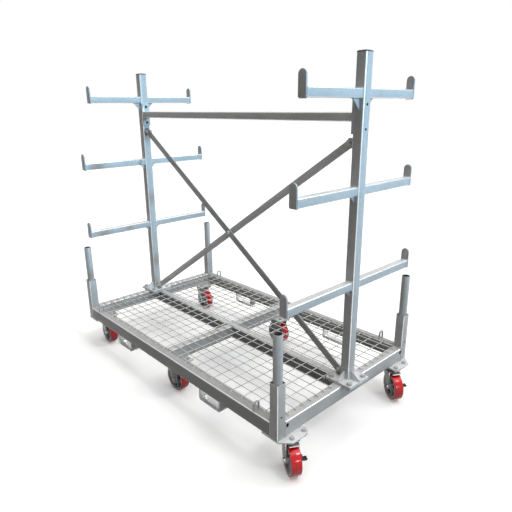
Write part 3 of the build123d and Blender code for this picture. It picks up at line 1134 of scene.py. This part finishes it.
tread = rod(WHEEL_RADIUS, 2 * TREAD_HALF, (0, 0, 0), "Y", WHEEL_SIDES)
opened(tread, 1, WHEEL_RADIUS - RIM_RADIUS)
pick(
    tread,
    "EDGE",
    lambda a, b: abs(a.y - b.y) < FINE
    and min(hypot(a.x, a.z), hypot(b.x, b.z)) > WHEEL_RADIUS - NEAR,
)
rounded(SHOULDER, segments=4)


def turned(piece, *steps):
    """Turns both ends of a round bar in steps of radii and rise, and bores it through."""
    pick(piece, "FACE", facing(1))
    for radius_from, radius_to, rise in steps:
        bpy.ops.mesh.inset(thickness=radius_from - radius_to, depth=rise)
    bpy.ops.mesh.bridge_edge_loops()
    leave()
    return cleaned(ease(piece, CAST_EASE, angle=30))


ring = turned(
    rod(RIM_RADIUS, 2 * RIM_HALF, (0, 0, 0), "Y", WHEEL_SIDES),
    (RIM_RADIUS, LIP_RADIUS, 0),
)
hub = turned(
    rod(HUB_RADIUS, 2 * HUB_HALF, (0, 0, 0), "Y", sides=64),
    (HUB_RADIUS, SEAL_OUTER, 0),
    (SEAL_OUTER, SEAL_INNER, -SEAL_DEPTH),
    (SEAL_INNER, BORE_RADIUS, 0),
)
web = turned(
    rod(LIP_RADIUS + SEAT, 2 * WEB_HALF, (0, 0, 0), "Y", WHEEL_SIDES),
    (LIP_RADIUS + SEAT, DISH_OUTER, 0),
    (DISH_OUTER, DISH_INNER, -DISH_DEPTH),
    (DISH_INNER, BOSS_OUTER, 0),
    (BOSS_OUTER, BOSS_INNER, BOSS_RISE),
    (BOSS_INNER, HUB_RADIUS - SEAT, 0),
)
rib = block(
    (HUB_RADIUS - SEAT, -RIB_HALF_WIDTH, -RIB_HALF_DEPTH),
    (LIP_RADIUS + SEAT, RIB_HALF_WIDTH, RIB_HALF_DEPTH),
)
pick(rib, "EDGE", lambda a, b: abs(a.x - b.x) > FINE)
rounded(RIB_EASE, segments=2)
ribs = [
    copied(rib, Matrix.Rotation(FIRST_SPOKE + 2 * pi * spoke / SPOKES, 4, "Y"))
    for spoke in range(SPOKES)
]
discard(rib)
rim = joined([ring, hub, *ribs])

for wheel in CORNERS + MIDDLES:
    axle = joint_axes[f"{wheel}_wheel_roll"]
    low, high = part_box(f"wheel_tread_{wheel}")
    seat = Matrix.Translation((low + high) / 2) @ Matrix.Rotation(atan2(-axle.x, axle.y), 4, "Z")
    finished(
        copied(tread, seat),
        f"wheel_tread_moulded_{wheel}",
        f"{wheel}_wheel",
        "tread",
        RED_TREAD,
        f"wheel_tread_{wheel}",
    )
    finished(
        copied(rim, seat),
        f"wheel_rim_cast_{wheel}",
        f"{wheel}_wheel",
        "rim",
        CAST_RIM,
        f"wheel_rim_{wheel}",
    )
    # The web's dark colour is painted shade
    finished(copied(web, seat), f"wheel_web_cast_{wheel}", f"{wheel}_wheel", "rim", PAINTED_SHADE_WEB)
discard(tread, rim, web)

# Bolts, nuts and screws: patterns that point along +Z from the face they clamp. The measures of a
# pattern are shares of its size, the diameter of the shank.
WASHER_RADIUS, WASHER_DEPTH = 1.05, 0.17
HEX_RADIUS, HEAD_DEPTH, NUT_DEPTH = 0.87, 0.64, 0.80
SHANK_RADIUS, SHANK_BASE, SHANK_DEPTH = 0.42, 0.94, 0.32
THREAD_RADIUS, THREAD_BASE, THREAD_DEPTH, THREAD_PITCH = 0.47, 0.995, 0.05, 0.09
SCREW_RADIUS, SCREW_DEPTH = 0.80, 0.60
KEY_RADIUS, KEY_BASE, KEY_DEPTH = 0.42, 0.30, 0.60
WASHER_EASE = 0.0004
HEX_EASE = 0.0005


def bar(size, radius, base, depth, sides):
    """An upright bar that stands on a height, with its measures in shares of a size."""
    return rod(radius * size, depth * size, (0, 0, (base + depth / 2) * size), "Z", sides)


def washer_pattern(size):
    """A plain washer for a shank of this diameter."""
    return ease(bar(size, WASHER_RADIUS, 0, WASHER_DEPTH, sides=32), WASHER_EASE)


def bolt_pattern(size):
    """A hexagon head on a washer."""
    washer = washer_pattern(size)
    head = bar(size, HEX_RADIUS, WASHER_DEPTH, HEAD_DEPTH, sides=6)
    pick(head, "FACE", faces_up)
    bpy.ops.mesh.inset(thickness=0.08 * size, depth=0.05 * size)
    bpy.ops.mesh.inset(thickness=0.30 * size, depth=-0.03 * size)
    leave()
    return joined([washer, ease(head, HEX_EASE, angle=35)])


def nut_pattern(size):
    """A hexagon nut on a washer with the end of a threaded shank."""
    washer = washer_pattern(size)
    nut = bar(size, HEX_RADIUS, WASHER_DEPTH, NUT_DEPTH, sides=6)
    pick(nut, "FACE", faces_up)
    bpy.ops.mesh.inset(thickness=0.09 * size, depth=0.05 * size)
    leave()
    turns = [
        bar(size, THREAD_RADIUS, THREAD_BASE + THREAD_PITCH * turn, THREAD_DEPTH, sides=20)
        for turn in range(3)
    ]
    shank = bar(size, SHANK_RADIUS, SHANK_BASE, SHANK_DEPTH, sides=20)
    return joined([washer, ease(nut, HEX_EASE, angle=35), shank, *turns])


def screw_pattern(size):
    """A round screw head with a hexagon socket for its key."""
    head = bar(size, SCREW_RADIUS, 0, SCREW_DEPTH, sides=24)
    pick(head, "FACE", faces_up)
    bpy.ops.mesh.inset(thickness=0.12 * size, depth=0.06 * size)
    leave()
    ease(head, WASHER_EASE)
    return drilled(head, [bar(size, KEY_RADIUS, KEY_BASE, KEY_DEPTH, sides=6)])


def placed(pattern, places):
    """Copies of a pattern at places with the directions that they point."""
    return [copied(pattern, along_matrix(Vector(place), Vector(way))) for place, way in places]


def on_level(pattern, spots, height, way):
    """Copies of a pattern at spots of a level face, pointing up or down."""
    return placed(pattern, [((x, y, height), (0, 0, way)) for x, y in spots])


def clamped(x, z, way, bolt_face, nut_face):
    """A small bolt and its nut through a place, the head towards +Y or -Y."""
    head = placed(small_bolt, [((x, way * bolt_face, z), (0, way, 0))])
    return head + placed(small_nut, [((x, -way * nut_face, z), (0, -way, 0))])


SMALL_SIZE = 0.012
LARGE_SIZE = 0.014
SCREW_SIZE = 0.010
SPACER_RADIUS = 0.011
CASTOR_PLATE = 0.006
END_PLATE = 0.008
CASTOR_BOLTS = (0.0525, 0.040)
FOOT_BOLT = 0.055
BRACE_HALF = 0.019
pad_low, pad_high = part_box("castor_pads")
foot_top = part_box("left_post")[0].z
foot_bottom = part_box("foot_pads")[0].z
brace_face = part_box("rear_brace")[1].y
cleat_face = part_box("brace_cleats")[1].y
brace_low, brace_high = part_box("front_brace")
plate_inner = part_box("top_rail_end_plates")[1].x - END_PLATE
castor_middles = [joint_places[f"{corner}_swivel_turn"] for corner in CORNERS]
castor_middles += [joint_places[f"{wheel}_wheel_roll"] for wheel in MIDDLES]
castor_spots = [
    (middle.x + along * CASTOR_BOLTS[0], middle.y + across * CASTOR_BOLTS[1])
    for middle in castor_middles
    for along in (-1, 1)
    for across in (-1, 1)
]
foot_spots = [
    (side * post_middle + along * FOOT_BOLT, across * FOOT_BOLT)
    for side in (-1, 1)
    for along in (-1, 1)
    for across in (-1, 1)
]

small_bolt, small_nut = bolt_pattern(SMALL_SIZE), nut_pattern(SMALL_SIZE)
large_bolt, large_nut = bolt_pattern(LARGE_SIZE), nut_pattern(LARGE_SIZE)
fasteners = on_level(small_bolt, castor_spots, pad_high.z, 1)
fasteners += on_level(small_nut, castor_spots, pad_low.z - CASTOR_PLATE, -1)
fasteners += on_level(large_bolt, foot_spots, foot_top, 1)
fasteners += on_level(large_nut, foot_spots, foot_bottom, -1)

plate_screw = screw_pattern(SCREW_SIZE)
plate_screws = placed(
    plate_screw,
    [
        ((side * plate_inner, 0, top_rail_z + level * PLATE_BOLT), (-side, 0, 0))
        for side in (-1, 1)
        for level in (-1, 1)
    ],
)
discard(plate_screw)
finished(joined(plate_screws), "end_plate_screws", "frame", "lever", BLACK_STEEL)

# The braces are bolted to their cleats, and to each other where they cross
top_x, top_z = -brace_low.x - BRACE_HALF, brace_high.z - BRACE_HALF
foot_x, foot_z = brace_high.x - BRACE_HALF, brace_low.z + BRACE_HALF
for side in (-1, 1):
    for way in (-1, 1):
        x, z = (top_x, top_z) if side == way else (foot_x, foot_z)
        fasteners += clamped(side * x, z, way, brace_face, cleat_face)
crossing = top_z - (top_z - foot_z) * top_x / (top_x + foot_x)
fasteners += clamped(0, crossing, -1, brace_face, brace_face)
fasteners.append(rod(SPACER_RADIUS, 2 * cleat_face, (0, 0, crossing), "Y", sides=24))
discard(small_bolt, small_nut, large_bolt, large_nut)
finished(joined(fasteners), "bolts_and_nuts", "frame", "castor_zinc", BRIGHT_ZINC)

# Welds: rows of overlapping ripples
RIPPLE_STEP = 0.85
RIPPLE_FLATNESS = 0.72
SPOT_FLATNESS = 0.7
WELD_INSET = 0.004
FOOT_RIB_HALF = 0.003


def bead(start, end):
    """A weld bead from one place to another."""
    start, end = Vector(start), Vector(end)
    run = end - start
    count = max(2, round(run.length / (RIPPLE_STEP * WELD_RADIUS)))
    ripple = flat_ball(WELD_RADIUS, RIPPLE_FLATNESS)
    apply_modifier(
        ripple,
        "ARRAY",
        count=count,
        use_relative_offset=False,
        use_constant_offset=True,
        constant_offset_displace=(0, 0, run.length / (count - 1)),
    )
    ripple.data.transform(along_matrix(start, run))
    return ripple


def chain(*points):
    """Weld beads through a row of places."""
    return [bead(a, b) for a, b in zip(points, points[1:])]


arm_welds = []
for node in ("left_arms", "right_arms"):
    for low, high in boxes(node):
        for y in ends(low.y, high.y):
            for x in (low.x, high.x):
                arm_welds += chain((x, y, low.z + WELD_INSET), (x, y, high.z - WELD_INSET))
            for z in (high.z, low.z):
                arm_welds += chain((low.x + WELD_INSET, y, z), (high.x - WELD_INSET, y, z))
finished(joined(arm_welds), "arm_welds", "frame", "galvanised", WELD, angle=60)

gusset_welds = []
for low, high in boxes("arm_gussets"):
    corner_y, tip_y = ends(low.y, high.y)
    for x in (low.x, high.x):
        gusset_welds += chain((x, corner_y, low.z), (x, corner_y, high.z), (x, tip_y, high.z))
finished(joined(gusset_welds), "gusset_welds", "frame", "galvanised", WELD, angle=60)

# Sockets to rails
frame_welds = []
for low, high in socket_boxes:
    inner_x, outer_x = ends(low.x, high.x)
    inner_y, outer_y = ends(low.y, high.y)
    outer_y -= copysign(WELD_RADIUS, outer_y)
    meeting = (inner_x, inner_y, rail_top)
    frame_welds += chain((inner_x, outer_y, rail_bottom), (inner_x, outer_y, rail_top), meeting)
    frame_welds += chain((outer_x, inner_y, rail_bottom), (outer_x, inner_y, rail_top), meeting)

# Posts and their ribs to the foot plates, and the top rail to its end plates
rib_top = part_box("post_feet")[1].z
foot_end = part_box("post_feet")[1].y - WELD_RADIUS
half_rail = (top_rail_high.z - top_rail_low.z) / 2
for side in (-1, 1):
    x = side * post_middle
    for edge in (-FOOT_RIB_HALF, FOOT_RIB_HALF):
        frame_welds += chain(
            (x + side * half_post, edge, rib_top),
            (x + side * half_post, edge, foot_top),
            (x + side * foot_end, edge, foot_top),
        )
        for across in (-1, 1):
            frame_welds += chain(
                (x + edge, across * half_post, rib_top),
                (x + edge, across * half_post, foot_top),
                (x + edge, across * foot_end, foot_top),
            )
    frame_welds += chain(
        (x - half_post, -half_post, foot_top),
        (x + half_post, -half_post, foot_top),
        (x + half_post, half_post, foot_top),
        (x - half_post, half_post, foot_top),
        (x - half_post, -half_post, foot_top),
    )
    plate_x = side * top_rail_high.x
    frame_welds += chain(
        (plate_x, -half_rail, top_rail_low.z),
        (plate_x, half_rail, top_rail_low.z),
        (plate_x, half_rail, top_rail_high.z),
        (plate_x, -half_rail, top_rail_high.z),
        (plate_x, -half_rail, top_rail_low.z),
    )

# Cross beam, spine and fork pockets to the rails
for across in (-1, 1):
    y = across * beam_high.y
    frame_welds += chain(
        (beam_low.x, y, rail_bottom),
        (beam_low.x, y, rail_top),
        (beam_high.x, y, rail_top),
        (beam_high.x, y, rail_bottom),
    )
for low, high in boxes("spine_beams"):
    for x in (low.x, high.x):
        frame_welds += chain(
            (x, low.y, rail_bottom),
            (x, low.y, rail_top),
            (x, high.y, rail_top),
            (x, high.y, rail_bottom),
        )
for low, high in pocket_boxes:
    for x in (low.x, high.x):
        frame_welds += chain(
            (x, low.y + WELD_INSET, rail_bottom), (x, high.y - WELD_INSET, rail_bottom)
        )
finished(joined(frame_welds), "frame_welds", "frame", "galvanised", WELD, angle=60)

# Spot welds where the wires end on the rails
spot = flat_ball(SPOT_RADIUS, SPOT_FLATNESS)
for side, tips in wire_ends.items():
    spots = [copied(spot, Matrix.Translation(tip)) for tip in tips]
    finished(joined(spots), f"{side}_mesh_welds", "frame", "galvanised", PALE_AND_LIT_ZINC, angle=60)
discard(spot)

# Stage: a pale floor that stays white round the shadow, and a white backdrop
FLOOR_SIZE = 80
FLOOR_SEEN = (0.95, 0.95, 0.95, 1)
FLOOR_BOUNCE = (0.10, 0.10, 0.10, 1)
FLOOR_GLOW = 0.24
WORLD_FILL = (0.112, 0.111, 0.107, 1)
WHITE = (1, 1, 1, 1)

bpy.ops.object.select_all(action="DESELECT")
bpy.ops.mesh.primitive_plane_add(size=FLOOR_SIZE)
floor = bpy.context.object
floor.name = "floor"
floor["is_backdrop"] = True


def seen_rays(tree):
    """One where the ray is the camera's, a reflection's or one through glass."""
    rays = put(tree, "ShaderNodeLightPath").outputs
    pair = put(
        tree,
        "ShaderNodeMath",
        {0: rays["Is Camera Ray"], 1: rays["Is Glossy Ray"]},
        operation="MAXIMUM",
    )
    three = put(
        tree,
        "ShaderNodeMath",
        {0: pair.outputs[0], 1: rays["Is Transmission Ray"]},
        operation="MAXIMUM",
    )
    return three.outputs[0]


floor_paint = bpy.data.materials.new("white floor")
floor_paint.use_nodes = True
tree = floor_paint.node_tree
tree.nodes.clear()
seen = seen_rays(tree)
paper = put(
    tree, "ShaderNodeBsdfDiffuse", {"Color": colour_mix(tree, seen, FLOOR_BOUNCE, FLOOR_SEEN)}
)
lift = put(tree, "ShaderNodeMath", {0: seen, 1: FLOOR_GLOW}, operation="MULTIPLY")
glow = put(tree, "ShaderNodeEmission", {"Color": WHITE, "Strength": lift.outputs[0]})
both = put(tree, "ShaderNodeAddShader", {0: paper.outputs[0], 1: glow.outputs[0]})
put(tree, "ShaderNodeOutputMaterial", {"Surface": both.outputs[0]})
floor.data.materials.append(floor_paint)

world = bpy.data.worlds.new("studio")
bpy.context.scene.world = world
world.use_nodes = True
tree = world.node_tree
tree.nodes.clear()
sky = colour_mix(tree, seen_rays(tree), WORLD_FILL, WHITE)
backdrop = put(tree, "ShaderNodeBackground", {"Color": sky})
put(tree, "ShaderNodeOutputWorld", {"Surface": backdrop.outputs[0]})


def soft_sun(name, strength, colour, spread, heading, height):
    """A broad soft light from a heading, counted from +X towards +Y, and a height, in degrees."""
    light = bpy.data.lights.new(name, "SUN")
    light.energy = strength
    light.color = colour
    light.angle = radians(spread)
    linked(name, light).matrix_world = (
        Matrix.Rotation(radians(heading), 4, "Z") @ Matrix.Rotation(radians(90 - height), 4, "Y")
    )


def soft_spot(name, strength, colour, place, aim, cone, radius):
    """A soft beam that gives a strength where it aims and fades across its cone, in degrees."""
    light = bpy.data.lights.new(name, "SPOT")
    throw = Vector(aim) - Vector(place)
    light.energy = strength * 4 * pi * throw.length_squared
    light.color = colour
    light.spot_size = radians(cone)
    light.spot_blend = 1.0
    light.shadow_soft_size = radius
    turn = throw.to_track_quat("-Z", "Y").to_matrix().to_4x4()
    linked(name, light).matrix_world = Matrix.Translation(place) @ turn


soft_spot(
    "side light",
    strength=3.0,
    colour=(0.33, 0.70, 1.0),
    place=(25.6, 5.4, 4.9),
    aim=(0, 0, 2.0),
    cone=8.6,
    radius=0.7,
)
soft_sun("top light", strength=1.9, colour=(1.0, 0.99, 0.97), spread=60, heading=60, height=84)
soft_sun("low glint", strength=0.4, colour=(0.9, 0.96, 1.0), spread=9, heading=-12, height=17)
soft_sun("high glint", strength=0.5, colour=(1.0, 1.0, 1.0), spread=9, heading=10, height=57)
soft_sun("edge glint", strength=0.5, colour=(1.0, 1.0, 1.0), spread=14, heading=60, height=38)

# Camera at the photograph's place
CAMERA_PLACE = (2.0855, -1.7490, 1.5626)
YAW, PITCH, ROLL = radians(46.83), radians(17.34), radians(-0.459)
LENS_MM = 33.49
SENSOR_MM = 36.0
CLIP_END = 200.0
eye = bpy.data.cameras.new("camera")
eye.sensor_width = SENSOR_MM
eye.lens = LENS_MM
eye.clip_end = CLIP_END
camera = linked("camera", eye)
camera.matrix_world = (
    Matrix.Translation(CAMERA_PLACE)
    @ Matrix.Rotation(YAW, 4, "Z")
    @ Matrix.Rotation(pi / 2 - PITCH, 4, "X")
    @ Matrix.Rotation(ROLL, 4, "Z")
)
bpy.context.scene.camera = camera
bpy.context.scene.view_settings.view_transform = "Standard"

low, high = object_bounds()
